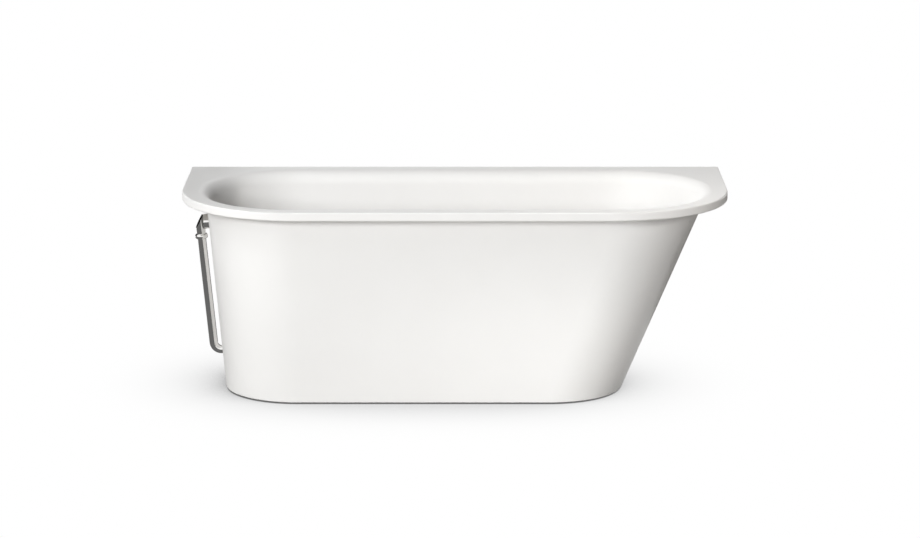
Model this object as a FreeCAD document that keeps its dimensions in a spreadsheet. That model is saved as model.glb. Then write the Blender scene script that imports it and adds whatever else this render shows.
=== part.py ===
import FreeCAD, Part
import Sketcher
import math
import os
import re

# A single-ended bath that stands with its straight back edge against a wall.
# +X runs from the waste end to the sloping backrest, +Y points to the wall and +Z is up.
# The origin is on the floor under the middle of the rim. All sizes are in millimetres.

RIM_SIZES = {
    "length": 1650,
    "width": 715,
    "height": 600,
    "rim_thickness": 26,
    "rim_corner_radius": 357,
    "rim_back_radius": 6,
    "rim_edge_radius": 4,
}

SHELL_SIZES = {
    "overhang_left": 74,
    "overhang_right": 71,
    "overhang_front": 66,
    "overhang_back": 66,
    "base_inset_left": 128,
    "base_inset_right": 316,
    "base_inset_front": 79,
    "base_inset_back": 79,
    "neck_end_flat": 33,
    "base_end_flat": 103,
    "wall": 14,
    "foot_gap": 5,
    "floor_height": 165,
    "floor_thickness": 16,
    "floor_radius": 80,
    "lip_radius": 40,
    "neck_radius": 10,
    "hem_radius": 3,
    "notch_width": 140,
    "notch_height": 95,
    "notch_radius": 35,
}

OVERFLOW_SIZES = {
    "overflow_drop": 99,
    "overflow_hole_radius": 21,
    "spot_depth": 1,
    "spot_margin": 2,
    "gasket_thickness": 2,
    "fit_clearance": 0.05,
    "elbow_radius": 23,
    "stub_reach": 17,
    "elbow_flange_radius": 25,
    "elbow_flange_thickness": 3,
    "elbow_passage_radius": 8,
    "elbow_leg_radius": 14,
    "elbow_leg_length": 34,
    "elbow_head_drop": 2,
    "facet_foot": 16.5,
    "facet_head": 11,
    "neck_height": 3,
    "bush_radius": 19,
    "bush_wall": 3,
    "bush_reach": 10,
    "bush_flange_radius": 28,
    "bush_flange_thickness": 3,
    "bush_bar_width": 8,
    "bush_bar_depth": 9,
    "cover_radius": 34,
    "cover_thickness": 5,
    "cover_gap": 6,
    "cover_edge_radius": 2,
    "cover_stem_radius": 3,
    "spigot_radius": 15.5,
    "spigot_length": 9,
    "collar_height": 15,
    "collar_edge": 1.5,
    "collar_bead_radius": 9.4,
    "collar_lip": 3,
    "cone_seal_height": 3,
    "pipe_radius": 13,
    "pipe_wall": 1.5,
    "pipe_insertion": 6,
    "pipe_stand_off": 29.5,
    "bend_radius": 24,
    "leg_height": 100,
    "grommet_wall": 5,
    "grommet_proud": 3,
}

WASTE_SIZES = {
    "waste_inset": 305,
    "waste_hole_radius": 26,
    "waste_recess_depth": 3,
    "waste_flange_radius": 35,
    "waste_flange_thickness": 3,
    "waste_seat_radius": 24.5,
    "waste_seat_depth": 6,
    "waste_shoulder_radius": 25.5,
    "waste_shoulder_depth": 12,
    "tail_radius": 23.5,
    "tail_wall": 2.5,
    "tail_length": 45,
    "hub_radius": 13,
    "hub_drop": 16,
    "hub_height": 12,
    "spoke_width": 3,
    "cartridge_radius": 9,
    "cartridge_head_radius": 12,
    "cartridge_head_height": 3,
    "cartridge_length": 38,
    "cartridge_floor": 4,
    "plug_radius": 30,
    "plug_edge": 2,
    "plug_crown": 4,
    "plug_boss_radius": 15,
    "plug_boss_depth": 6,
    "plug_seal_radius": 21.8,
    "plug_seal_thickness": 4,
    "plug_stem_radius": 4,
    "plug_stem_length": 34,
    "running_gap": 0.3,
    "shaft_clearance": 0.05,
    "tee_flange_radius": 38,
    "tee_flange_thickness": 8,
    "tee_wall": 5,
    "tee_socket_depth": 29,
    "tee_chamber_radius": 21,
    "tee_branch_length": 51.5,
    "tee_branch_socket": 11.5,
    "tee_branch_wall": 4,
    "tee_foot": 80,
    "nut_wall": 4,
    "nut_lip": 3,
    "inlet_nut_grip": 16,
    "inlet_seal_thickness": 3,
    "rib_count": 12,
    "rib_width": 4,
    "rib_height": 1.5,
}

TRAP_SIZES = {
    "outlet_spigot_radius": 23.9,
    "outlet_spigot_wall": 3.9,
    "trap_joint_height": 62,
    "trap_nut_grip": 16,
    "trap_neck_radius": 22,
    "trap_neck_wall": 4,
    "trap_collar_radius": 23.6,
    "trap_collar_height": 2.7,
    "trap_seal_thickness": 1.8,
    "trap_drum_radius": 55,
    "trap_drum_wall": 3,
    "trap_foot": 10,
    "trap_lid_height": 48,
    "trap_lid_thickness": 4,
    "trap_lid_overlap": 1,
    "dip_height": 20,
    "cup_radius": 28,
    "cup_wall": 2,
    "cup_rim_height": 40,
    "outlet_height": 34,
    "outlet_radius": 20.2,
    "outlet_wall": 3.8,
    "outlet_start": 60,
    "outlet_back": 4,
    "outlet_end": 98,
    "throat_height": 30,
    "throat_radius": 14,
    "throat_wall": 2.5,
    "outlet_seal_thickness": 4,
    "outlet_nut_wall": 3,
    "outlet_nut_grip": 12,
}

FOOT_SIZES = {
    "foot_inset_left": 225,
    "foot_inset_right": 415,
    "foot_spread": 145,
    "boss_radius": 24,
    "boss_height": 62,
    "boss_bore_extra": 12,
    "insert_radius": 12,
    "insert_length": 40,
    "stud_radius": 6,
    "stud_length": 84,
    "stud_foot": 12,
    "stud_hex_width": 17,
    "stud_hex_foot": 24,
    "stud_hex_height": 8,
    "thread_clearance": 0.1,
    "locknut_width": 19,
    "locknut_height": 8,
    "shoe_radius": 27,
    "shoe_thickness": 4,
    "pad_radius": 25,
    "pad_thickness": 6,
    "pad_boss_radius": 11,
    "pad_boss_height": 10,
}

SIZES = {**RIM_SIZES, **SHELL_SIZES, **OVERFLOW_SIZES, **WASTE_SIZES, **TRAP_SIZES, **FOOT_SIZES}

vector = FreeCAD.Vector
doc = FreeCAD.newDocument("bathtub")
sheet = doc.addObject("Spreadsheet::Sheet", "Sizes")
for row, (alias, number) in enumerate(SIZES.items(), 1):
    sheet.set(f"A{row}", alias)
    sheet.set(f"B{row}", str(number))
    sheet.setAlias(f"B{row}", alias)
doc.recompute()
subparts = []


# Formulas

def formula(text):
    """Text with each size's name turned into a reference to its cell."""
    return re.sub(r"[a-z_]+", lambda word: f"Sizes.{word[0]}" if word[0] in SIZES else word[0], text)


def value(text):
    result = sheet.evalExpression(formula(text))
    return float(getattr(result, "Value", result))


def bind(target, **formulas):
    for name, text in formulas.items():
        target.setExpression(name, formula(text))


# Sketches

def new_sketch(body, name, offset="0", plane="XY_Plane"):
    sketch = body.newObject("Sketcher::SketchObject", name)
    support = next(item for item in body.Origin.OriginFeatures if item.Role == plane)
    sketch.AttachmentSupport = [(support, "")]
    sketch.MapMode = "FlatFace"
    sketch.setExpression("AttachmentOffset.Base.z", formula(offset))
    return sketch


def fix_value(sketch, kind, *target, text):
    index = sketch.addConstraint(Sketcher.Constraint(kind, *target, value(text)))
    sketch.setExpression(f"Constraints[{index}]", formula(text))


def fix_point(sketch, item, end, x, y):
    fix_value(sketch, "DistanceX", item, end, text=x)
    fix_value(sketch, "DistanceY", item, end, text=y)


def arc_between(start, end, radius):
    """The arc from start to end that bulges to the right of the way between them."""
    chord = end - start
    middle = start + chord * 0.5
    inwards = vector(-chord.y, chord.x, 0).normalize()
    centre = middle + inwards * math.sqrt(radius ** 2 - (chord.Length / 2) ** 2)
    angles = [math.atan2(spot.y - centre.y, spot.x - centre.x) for spot in (start, end)]
    return Part.ArcOfCircle(Part.Circle(centre, vector(0, 0, 1), radius), *angles)


def polygon(body, name, corners, offset="0", plane="XY_Plane"):
    """Closed outline, anticlockwise. A corner's third entry is the radius of an arc to the next corner."""
    sketch = new_sketch(body, name, offset, plane)
    spots = [vector(value(corner[0]), value(corner[1]), 0) for corner in corners]
    for corner, start, end in zip(corners, spots, spots[1:] + spots[:1]):
        if len(corner) == 3:
            sketch.addGeometry(arc_between(start, end, value(corner[2])))
        else:
            sketch.addGeometry(Part.LineSegment(start, end))
    for index, (x, y, *radius) in enumerate(corners):
        following = (index + 1) % len(corners)
        sketch.addConstraint(Sketcher.Constraint("Coincident", index, 2, following, 1))
        fix_point(sketch, index, 1, x, y)
        if radius:
            fix_value(sketch, "Radius", index, text=radius[0])
    return sketch


def circles(body, name, rounds, offset="0", plane="XY_Plane"):
    sketch = new_sketch(body, name, offset, plane)
    for index, (x, y, radius) in enumerate(rounds):
        sketch.addGeometry(Part.Circle(vector(value(x), value(y), 0), vector(0, 0, 1), value(radius)))
        fix_point(sketch, index, 3, x, y)
        fix_value(sketch, "Radius", index, text=radius)
    return sketch


def rounded_rectangle(body, name, sides, radii, offset="0", plane="XY_Plane"):
    """Four lines joined by quarter arcs. Sides are left, right, low and high; radii are low and high."""
    left, right, low, high = sides
    low_radius, high_radius = radii
    sketch = new_sketch(body, name, offset, plane)
    ends = [
        (f"{left} + {low_radius}", low),
        (f"{right} - {low_radius}", low),
        (right, f"{low} + {low_radius}"),
        (right, f"{high} - {high_radius}"),
        (f"{right} - {high_radius}", high),
        (f"{left} + {high_radius}", high),
        (left, f"{high} - {high_radius}"),
        (left, f"{low} + {low_radius}"),
    ]
    centres = [(1, 2), (4, 3), (5, 6), (0, 7)]
    spots = [vector(value(x), value(y), 0) for x, y in ends]
    corner_radii = [low_radius, high_radius, high_radius, low_radius]
    for side, (across, along) in enumerate(centres):
        sketch.addGeometry(Part.LineSegment(spots[2 * side], spots[2 * side + 1]))
        centre = vector(spots[across].x, spots[along].y, 0)
        round_corner = Part.Circle(centre, vector(0, 0, 1), value(corner_radii[side]))
        start = math.radians(90 * side - 90)
        sketch.addGeometry(Part.ArcOfCircle(round_corner, start, start + math.pi / 2))
    for side, radius in enumerate(corner_radii):
        line, arc = 2 * side, 2 * side + 1
        sketch.addConstraint(Sketcher.Constraint("Coincident", line, 2, arc, 1))
        sketch.addConstraint(Sketcher.Constraint("Coincident", arc, 2, (line + 2) % 8, 1))
        fix_point(sketch, line, 1, *ends[line])
        fix_point(sketch, line, 2, *ends[arc])
        fix_value(sketch, "Radius", arc, text=radius)
    return sketch


# Bodies and features

def new_body(name):
    body = doc.addObject("PartDesign::Body", name)
    body.Label = name
    subparts.append(body)
    return body


def place(item, x="0", y="0", z="0", axis=None, angle="0", prefix="Placement"):
    if axis:
        setattr(item, prefix, FreeCAD.Placement(vector(), FreeCAD.Rotation(axis, value(angle))))
        item.setExpression(f"{prefix}.Rotation.Angle", formula(angle))
    for letter, text in zip("xyz", (x, y, z)):
        item.setExpression(f"{prefix}.Base.{letter}", formula(text))


def pad(body, name, sketch, length):
    feature = body.newObject("PartDesign::Pad", name)
    feature.Profile = sketch
    bind(feature, Length=length)
    return feature


def pocket(body, name, sketch, length, upward=False, both_ways=False):
    feature = body.newObject("PartDesign::Pocket", name)
    feature.Profile = sketch
    feature.Reversed = upward
    feature.SideType = "Symmetric" if both_ways else "One side"
    bind(feature, Length=length)
    return feature


def loft(body, name, kind, sketches):
    feature = body.newObject(f"PartDesign::{kind}Loft", name)
    feature.Profile = sketches[0]
    feature.Sections = sketches[1:]
    feature.Ruled = True
    return feature


def turn(body, name, corners, kind="Revolution"):
    """A profile of radius and height, turned round the body's Z axis."""
    sketch = polygon(body, f"{name}_profile", corners, plane="XZ_Plane")
    feature = body.newObject(f"PartDesign::{kind}", name)
    feature.Profile = sketch
    feature.ReferenceAxis = (sketch, ["V_Axis"])
    feature.Angle = 360
    return feature


def rod(body, name, kind, radius, length, start, axis=None, angle="0"):
    """A cylinder that begins at start and points along Z, or along Z turned about the axis."""
    feature = body.newObject(f"PartDesign::{kind}Cylinder", name)
    support = next(item for item in body.Origin.OriginFeatures if item.Role == "XY_Plane")
    feature.AttachmentSupport = [(support, "")]
    feature.MapMode = "FlatFace"
    bind(feature, Radius=radius, Height=length)
    place(feature, *start, axis=axis, angle=angle, prefix="AttachmentOffset")
    return feature


def round_edges(body, name, radius, wanted):
    doc.recompute()
    base = body.Tip
    names = [f"Edge{index}" for index, edge in enumerate(base.Shape.Edges, 1) if wanted(edge)]
    feature = body.newObject("PartDesign::Fillet", name)
    feature.Base = (base, names)
    bind(feature, Radius=radius)
    doc.recompute()
    return feature


def level_at(edge, height):
    box = edge.BoundBox
    return max(abs(box.ZMin - value(height)), abs(box.ZMax - value(height))) < 0.001


def ring_at(edge, radius, height):
    """True for a full circle of this radius about Z at this height."""
    is_circle = isinstance(edge.Curve, Part.Circle)
    return is_circle and level_at(edge, height) and abs(edge.Curve.Radius - value(radius)) < 0.001


def washer(name, inner, outer, bottom, top):
    body = new_body(name)
    turn(body, "ring", [(inner, bottom), (outer, bottom), (outer, top), (inner, top)])
    return body


def rectangle(half_x, half_y):
    """Corners of a rectangle about the origin."""
    left, front = f"-({half_x})", f"-({half_y})"
    return [(left, front), (half_x, front), (half_x, half_y), (left, half_y)]


def hexagon(width):
    """Corners of a hexagon of this width across its flats, about the origin."""
    reach = f"({width}) / 2 / cos(30 deg)"
    return [(f"{reach} * cos({60 * step} deg)", f"{reach} * sin({60 * step} deg)") for step in range(6)]


def grip_ribs(body, radius, bottom, height):
    """Ribs round a nut, for the hand to turn it by."""
    sides = [f"({radius}) - rib_height", f"({radius}) + rib_height"]
    edges = ["-rib_width / 2", "rib_width / 2"]
    corners = [(sides[0], edges[0]), (sides[1], edges[0]), (sides[1], edges[1]), (sides[0], edges[1])]
    rib = pad(body, "rib", polygon(body, "rib_outline", corners, bottom), height)
    doc.recompute()
    ribs = body.newObject("PartDesign::PolarPattern", "ribs")
    ribs.Originals = [rib]
    ribs.Axis = (rib.Profile[0], ["N_Axis"])
    ribs.Angle = 360
    bind(ribs, Occurrences="rib_count")
    body.Tip = ribs


# Levels and places that several pieces share

RIM_UNDERSIDE = "(height - rim_thickness)"
FLOOR_UNDERSIDE = "(floor_height - floor_thickness)"
SKIRT_RISE = f"({RIM_UNDERSIDE} - foot_gap)"
WASTE_X = "(waste_inset - length / 2)"


def half_extent(side, drop):
    """Distance of the shell's outer face from the middle, at the rim or at the base."""
    half = "length / 2" if side in ("left", "right") else "width / 2"
    return f"({half} - {drop}_{side})"


def slope(side):
    return f"(({half_extent(side, 'overhang')} - {half_extent(side, 'base_inset')}) / {SKIRT_RISE})"


def wall_face(side, level, inward="0"):
    """Place of one wall at a level, moved inwards square to the wall."""
    steep = slope(side)
    outer = f"{half_extent(side, 'base_inset')} + {steep} * ({level} - foot_gap)"
    reach = f"({outer} - {inward} * sqrt(1 + {steep}^2))"
    return f"(-{reach})" if side in ("left", "front") else reach


def shell_section(body, name, level, inward="0"):
    sides = [wall_face(side, level, inward) for side in ("left", "right", "front", "back")]
    end_flat = f"(base_end_flat + (neck_end_flat - base_end_flat) * ({level} - foot_gap) / {SKIRT_RISE})"
    radius = f"(({sides[3]} - {sides[2]} - {end_flat}) / 2)"
    return rounded_rectangle(body, name, sides, (radius, radius), level)


# The waste end leans by this angle. The overflow kit is modelled against an upright wall at x = 0,
# outwards along -X, and placed on the leaning wall by on_waste_end().
LEAN = f"atan({slope('left')})"
OVERFLOW_HEIGHT = "(height - overflow_drop)"
OVERFLOW_X = wall_face("left", OVERFLOW_HEIGHT)


def wall_point(out, up):
    """Place in X and Z of a point given by its distances from the overflow hole, across and up the wall."""
    x = f"({OVERFLOW_X} - ({out}) * cos({LEAN}) - ({up}) * sin({LEAN}))"
    z = f"({OVERFLOW_HEIGHT} - ({out}) * sin({LEAN}) + ({up}) * cos({LEAN}))"
    return x, z


def on_waste_end(body, out="0", up="0"):
    x, z = wall_point(out, up)
    place(body, x, "0", z, axis=vector(0, 1, 0), angle=f"-{LEAN}")


def foot_spot(end, side):
    x = "(foot_inset_left - length / 2)" if end == "left" else "(length / 2 - foot_inset_right)"
    return x, "(-foot_spread)" if side == "front" else "foot_spread"


FEET = [(side, end) for side in ("front", "back") for end in ("left", "right")]


# Bath shell: a slab rim, a tapering skirt, the bowl and the hollow below its floor

def bath_shell():
    body = new_body("bath_shell")
    rim_sides = ["(-length / 2)", "(length / 2)", "(-width / 2)", "(width / 2)"]
    rim_radii = ("rim_corner_radius", "rim_back_radius")
    rim = rounded_rectangle(body, "rim_outline", rim_sides, rim_radii, RIM_UNDERSIDE)
    pad(body, "rim", rim, "rim_thickness")
    loft(body, "skirt", "Additive", [
        shell_section(body, "skirt_base", "foot_gap"),
        shell_section(body, "skirt_neck", RIM_UNDERSIDE),
    ])
    loft(body, "bowl", "Subtractive", [
        shell_section(body, "bowl_mouth", "height", "wall"),
        shell_section(body, "bowl_floor", "floor_height", "wall"),
    ])
    loft(body, "hollow", "Subtractive", [
        shell_section(body, "hollow_base", "foot_gap", "wall"),
        shell_section(body, "hollow_roof", FLOOR_UNDERSIDE, "wall"),
    ])
    round_shell_edges(body)
    cut_shell_openings(body)
    add_foot_bosses(body)


def on_rim_outline(edge):
    half_length, half_width = value("length / 2"), value("width / 2")
    return all(
        abs(abs(end.Point.x) - half_length) < 0.001 or abs(abs(end.Point.y) - half_width) < 0.001
        for end in edge.Vertexes
    )


def on_skirt_face(edge):
    """True for an edge of the base that lies on the skirt's outer face."""
    left, right = value(wall_face("left", "foot_gap")), value(wall_face("right", "foot_gap"))
    half_width = value(half_extent("front", "base_inset"))
    return all(
        min(abs(end.Point.x - left), abs(end.Point.x - right), abs(abs(end.Point.y) - half_width)) < 0.001
        for end in edge.Vertexes
    )


def round_shell_edges(body):
    round_edges(body, "floor_round", "floor_radius", lambda edge: level_at(edge, "floor_height"))
    round_edges(body, "lip_round", "lip_radius",
                lambda edge: level_at(edge, "height") and not on_rim_outline(edge))
    round_edges(body, "neck_round", "neck_radius",
                lambda edge: level_at(edge, RIM_UNDERSIDE) and not on_rim_outline(edge))
    for name, level in (("rim_top_round", "height"), ("rim_bottom_round", RIM_UNDERSIDE)):
        round_edges(body, name, "rim_edge_radius",
                    lambda edge: level_at(edge, level) and on_rim_outline(edge))
    round_edges(body, "hem_round", "hem_radius",
                lambda edge: level_at(edge, "foot_gap") and on_skirt_face(edge))


def cut_shell_openings(body):
    # The overflow hole has a flat spot on both faces of the wall for its gaskets.
    across = vector(0, 1, 0)
    square_to_wall = f"90 deg - {LEAN}"
    cuts = (
        ("overflow_hole", "overflow_hole_radius", "2 * wall", "wall / 2"),
        ("outer_spot", "elbow_flange_radius + spot_margin", "wall", "wall - spot_depth"),
        ("inner_spot", "bush_flange_radius + spot_margin", "wall", "spot_depth - wall"),
    )
    for name, radius, length, out in cuts:
        x, z = wall_point(out, "0")
        rod(body, name, "Subtractive", radius, length, (x, "0", z), across, square_to_wall)
    # The overflow pipe goes through the skirt level.
    skirt_face = wall_face("left", "leg_height")
    rod(body, "pipe_hole", "Subtractive", "pipe_radius + grommet_wall + fit_clearance", "3 * wall",
        (f"{skirt_face} - wall", "0", "leg_height"), across, "90")
    for name, radius, depth in (
        ("waste_hole", "waste_hole_radius", "floor_thickness"),
        ("waste_recess", "waste_flange_radius + running_gap", "waste_recess_depth"),
    ):
        outline = circles(body, f"{name}_outline", [(WASTE_X, "0", radius)], "floor_height")
        pocket(body, name, outline, depth)
    # An arch in the back of the skirt lets the waste pipe out to the wall.
    notch_sides = [f"({WASTE_X} - notch_width / 2)", f"({WASTE_X} + notch_width / 2)",
                   "(foot_gap - notch_height)", "notch_height"]
    notch_radii = ("notch_radius", "notch_radius")
    skirt_back = half_extent("back", "base_inset")
    notch = rounded_rectangle(body, "notch_outline", notch_sides, notch_radii, f"-{skirt_back}", "XZ_Plane")
    pocket(body, "notch", notch, "8 * wall", both_ways=True)


def add_foot_bosses(body):
    spots = [foot_spot(end, side) for side, end in FEET]
    bosses = circles(body, "boss_outlines", [(x, y, "boss_radius") for x, y in spots], "boss_height")
    pad(body, "bosses", bosses, f"{FLOOR_UNDERSIDE} - boss_height")
    bore = "insert_radius + fit_clearance"
    bores = circles(body, "bore_outlines", [(x, y, bore) for x, y in spots], "boss_height")
    pocket(body, "bores", bores, "insert_length + boss_bore_extra", upward=True)


# Overflow kit on the waste end

COLLAR_TOP = "(elbow_leg_length + neck_height)"
SPIGOT_END = f"({COLLAR_TOP} + spigot_length)"
PIPE_TOP = f"({SPIGOT_END} - pipe_insertion)"
OUTER_SEAT = "(gasket_thickness - spot_depth)"
INNER_SEAT = "(wall - spot_depth)"
FACET_TURN = "13"
PASSAGE_SLANT = "48"


def overflow_elbow():
    """A short level stub off the wall and an upright leg whose outer corner is cut to a flat facet."""
    body = new_body("overflow_elbow")
    level = vector(0, 1, 0)
    rod(body, "stub", "Additive", "elbow_radius", f"stub_reach - {OUTER_SEAT}",
        ("-stub_reach", "0", "0"), level, "90")
    rod(body, "flange", "Additive", "elbow_flange_radius", "elbow_flange_thickness",
        (f"-({OUTER_SEAT} + elbow_flange_thickness)", "0", "0"), level, "90")
    leg_steps = (
        ("leg", "elbow_leg_radius", "elbow_leg_length + elbow_radius - elbow_head_drop", "elbow_leg_length"),
        ("spigot", "spigot_radius", "spigot_length", SPIGOT_END),
        ("neck", "pipe_radius", "neck_height", COLLAR_TOP),
    )
    for name, radius, length, drop in leg_steps:
        rod(body, name, "Additive", radius, length, ("-pipe_stand_off", "0", f"-{drop}"))
    # The facet is drawn from the leg's axis and turned a little towards the front of the bath.
    run, rise = "(elbow_leg_radius + facet_head)", "(facet_foot + elbow_radius)"
    facet = polygon(body, "facet_outline", [
        (f"-(elbow_leg_radius + {run})", f"-(facet_foot + {rise})"),
        (f"facet_head + {run}", f"elbow_radius + {rise}"),
        (f"-(elbow_leg_radius + {run})", f"elbow_radius + {rise}"),
    ], plane="XZ_Plane")
    place(facet, "-pipe_stand_off", axis=vector(0, 1, 0), angle=FACET_TURN, prefix="AttachmentOffset")
    pocket(body, "facet", facet, "4 * elbow_radius", both_ways=True)
    socket_depth = f"({OUTER_SEAT} + bush_reach + running_gap)"
    rod(body, "bush_socket", "Subtractive", "bush_radius + fit_clearance", f"{socket_depth} + wall",
        (f"-{socket_depth}", "0", "0"), level, "90")
    # The passage falls at a slant behind the facet and then straight down the leg.
    slant_start = "(facet_foot + elbow_passage_radius / 2)"
    rod(body, "slant", "Subtractive", "elbow_passage_radius", "pipe_stand_off",
        ("-pipe_stand_off", "0", f"-{slant_start}"), level, PASSAGE_SLANT)
    rod(body, "down_bore", "Subtractive", "elbow_passage_radius", SPIGOT_END,
        ("-pipe_stand_off", "0", f"-({SPIGOT_END} + {slant_start} - elbow_passage_radius / 2)"))
    rod(body, "pipe_socket", "Subtractive", "pipe_radius + fit_clearance", "pipe_insertion + 1",
        ("-pipe_stand_off", "0", f"-({SPIGOT_END} + 1)"))
    on_waste_end(body)


def overflow_gaskets():
    level = vector(0, 1, 0)
    for name, outer, start in (
        ("overflow_outer_gasket", "elbow_flange_radius", f"-{OUTER_SEAT}"),
        ("overflow_inner_gasket", "bush_flange_radius", INNER_SEAT),
    ):
        body = new_body(name)
        rod(body, "disc", "Additive", outer, "gasket_thickness", (start, "0", "0"), level, "90")
        rod(body, "hole", "Subtractive", "overflow_hole_radius", "3 * gasket_thickness",
            (f"{start} - gasket_thickness", "0", "0"), level, "90")
        on_waste_end(body)


BUSH_FACE = f"({INNER_SEAT} + gasket_thickness + bush_flange_thickness)"


def overflow_bush():
    """A hollow threaded bush through the wall, with a bar across its mouth that holds the cover."""
    body = new_body("overflow_bush")
    level = vector(0, 1, 0)
    tail = f"({OUTER_SEAT} + bush_reach)"
    bore = "(bush_radius - bush_wall)"
    rod(body, "tube", "Additive", "bush_radius", f"{tail} + {BUSH_FACE}", (f"-{tail}", "0", "0"), level, "90")
    rod(body, "flange", "Additive", "bush_flange_radius", "bush_flange_thickness",
        (f"{BUSH_FACE} - bush_flange_thickness", "0", "0"), level, "90")
    rod(body, "bore", "Subtractive", bore, f"2 * ({tail} + {BUSH_FACE})",
        (f"-2 * {tail}", "0", "0"), level, "90")
    bar_corners = rectangle(f"{bore} + bush_wall / 2", "bush_bar_width / 2")
    bar = polygon(body, "bar_outline", bar_corners, f"{BUSH_FACE} - bush_bar_depth", "YZ_Plane")
    pad(body, "bar", bar, "bush_bar_depth")
    rod(body, "stem_hole", "Subtractive", "cover_stem_radius + fit_clearance", "3 * bush_bar_depth",
        (f"{BUSH_FACE} - 2 * bush_bar_depth", "0", "0"), level, "90")
    on_waste_end(body)


def overflow_cover():
    """A round cover held off the wall, so that water runs in all round its edge."""
    body = new_body("overflow_cover")
    level = vector(0, 1, 0)
    back = f"({BUSH_FACE} + cover_gap)"
    turn(body, "disc", [
        ("0", "0"),
        ("cover_radius", "0"),
        ("cover_radius", "cover_thickness"),
        ("0", "cover_thickness"),
    ])
    round_edges(body, "edge_round", "cover_edge_radius",
                lambda edge: ring_at(edge, "cover_radius", "cover_thickness"))
    rod(body, "stem", "Additive", "cover_stem_radius", "cover_gap + bush_bar_depth",
        ("0", "0", "-(cover_gap + bush_bar_depth)"))
    x, z = wall_point(f"-{back}", "0")
    place(body, x, "0", z, axis=level, angle=f"90 deg - {LEAN}")


def overflow_collar():
    """A bead-shaped ring nut that clamps the pipe to the elbow."""
    body = new_body("overflow_collar")
    clear_spigot = "(spigot_radius + fit_clearance)"
    clear_pipe = "(pipe_radius + fit_clearance)"
    turn(body, "bead", [
        (clear_pipe, "-collar_height"),
        (f"{clear_pipe} + collar_edge", "-collar_height", "collar_bead_radius"),
        (f"{clear_spigot} + collar_edge", "0"),
        (clear_spigot, "0"),
        (clear_spigot, "collar_lip - collar_height"),
        (clear_pipe, "collar_lip - collar_height"),
    ])
    on_waste_end(body, "pipe_stand_off", f"-{COLLAR_TOP}")


def overflow_cone_seal():
    body = washer("overflow_cone_seal", "pipe_radius + fit_clearance", "spigot_radius",
                  "-cone_seal_height", "0")
    on_waste_end(body, "pipe_stand_off", f"-{SPIGOT_END}")


def overflow_pipe():
    """One tube: down the leaning end, round a bend and level through the skirt to the waste."""
    body = new_body("overflow_pipe")
    top_x, top_z = wall_point("pipe_stand_off", f"-{PIPE_TOP}")
    drop = f"(({top_z} - leg_height) / cos({LEAN}))"
    corner_x = f"({top_x} + {drop} * sin({LEAN}))"
    tangent = f"(bend_radius * tan((90 deg - {LEAN}) / 2))"
    end_x = f"({WASTE_X} - tee_branch_length + tee_branch_socket)"
    route = [
        (end_x, "leg_height"),
        (f"({corner_x} + {tangent})", "leg_height"),
        (f"({corner_x} - {tangent} * sin({LEAN}))", f"(leg_height + {tangent} * cos({LEAN}))"),
        (top_x, top_z),
    ]
    end, level_end, upright_end, top = [vector(value(x), value(z), 0) for x, z in route]
    path = new_sketch(body, "route", plane="XZ_Plane")
    path.addGeometry(Part.LineSegment(end, level_end))
    bend = Part.Circle(level_end + vector(0, value("bend_radius"), 0), vector(0, 0, 1), value("bend_radius"))
    path.addGeometry(Part.ArcOfCircle(bend, math.radians(180 + value(LEAN)), math.radians(270)))
    path.addGeometry(Part.LineSegment(upright_end, top))
    path.addConstraint(Sketcher.Constraint("Coincident", 0, 2, 1, 2))
    path.addConstraint(Sketcher.Constraint("Coincident", 1, 1, 2, 1))
    fix_point(path, 0, 1, *route[0])
    fix_point(path, 0, 2, *route[1])
    fix_point(path, 2, 1, *route[2])
    fix_point(path, 2, 2, *route[3])
    fix_value(path, "Radius", 1, text="bend_radius")
    for name, kind, radius in (
        ("tube", "Additive", "pipe_radius"),
        ("bore", "Subtractive", "pipe_radius - pipe_wall"),
    ):
        section = circles(body, f"{name}_section", [("0", "leg_height", radius)], end_x, "YZ_Plane")
        feature = body.newObject(f"PartDesign::{kind}Pipe", name)
        feature.Profile = section
        feature.Spine = (path, ["Edge1", "Edge2", "Edge3"])


def pipe_grommet():
    """A rubber sleeve round the pipe where it goes through the skirt."""
    body = washer("pipe_grommet", "pipe_radius + fit_clearance", "pipe_radius + grommet_wall",
                  "-grommet_proud", "wall + grommet_proud")
    place(body, wall_face("left", "leg_height"), "0", "leg_height", axis=vector(0, 1, 0), angle="90")


# Waste with its plug and the tee below it

FLANGE_SEAT = "(floor_height - waste_recess_depth + gasket_thickness / 2)"
FLANGE_TOP = f"({FLANGE_SEAT} + waste_flange_thickness)"
TAIL_END = f"({FLANGE_SEAT} - tail_length)"
HUB_TOP = f"({FLANGE_TOP} - hub_drop)"
TEE_TOP = f"({FLOOR_UNDERSIDE} - gasket_thickness)"


def at_waste(body):
    place(body, WASTE_X)


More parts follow.
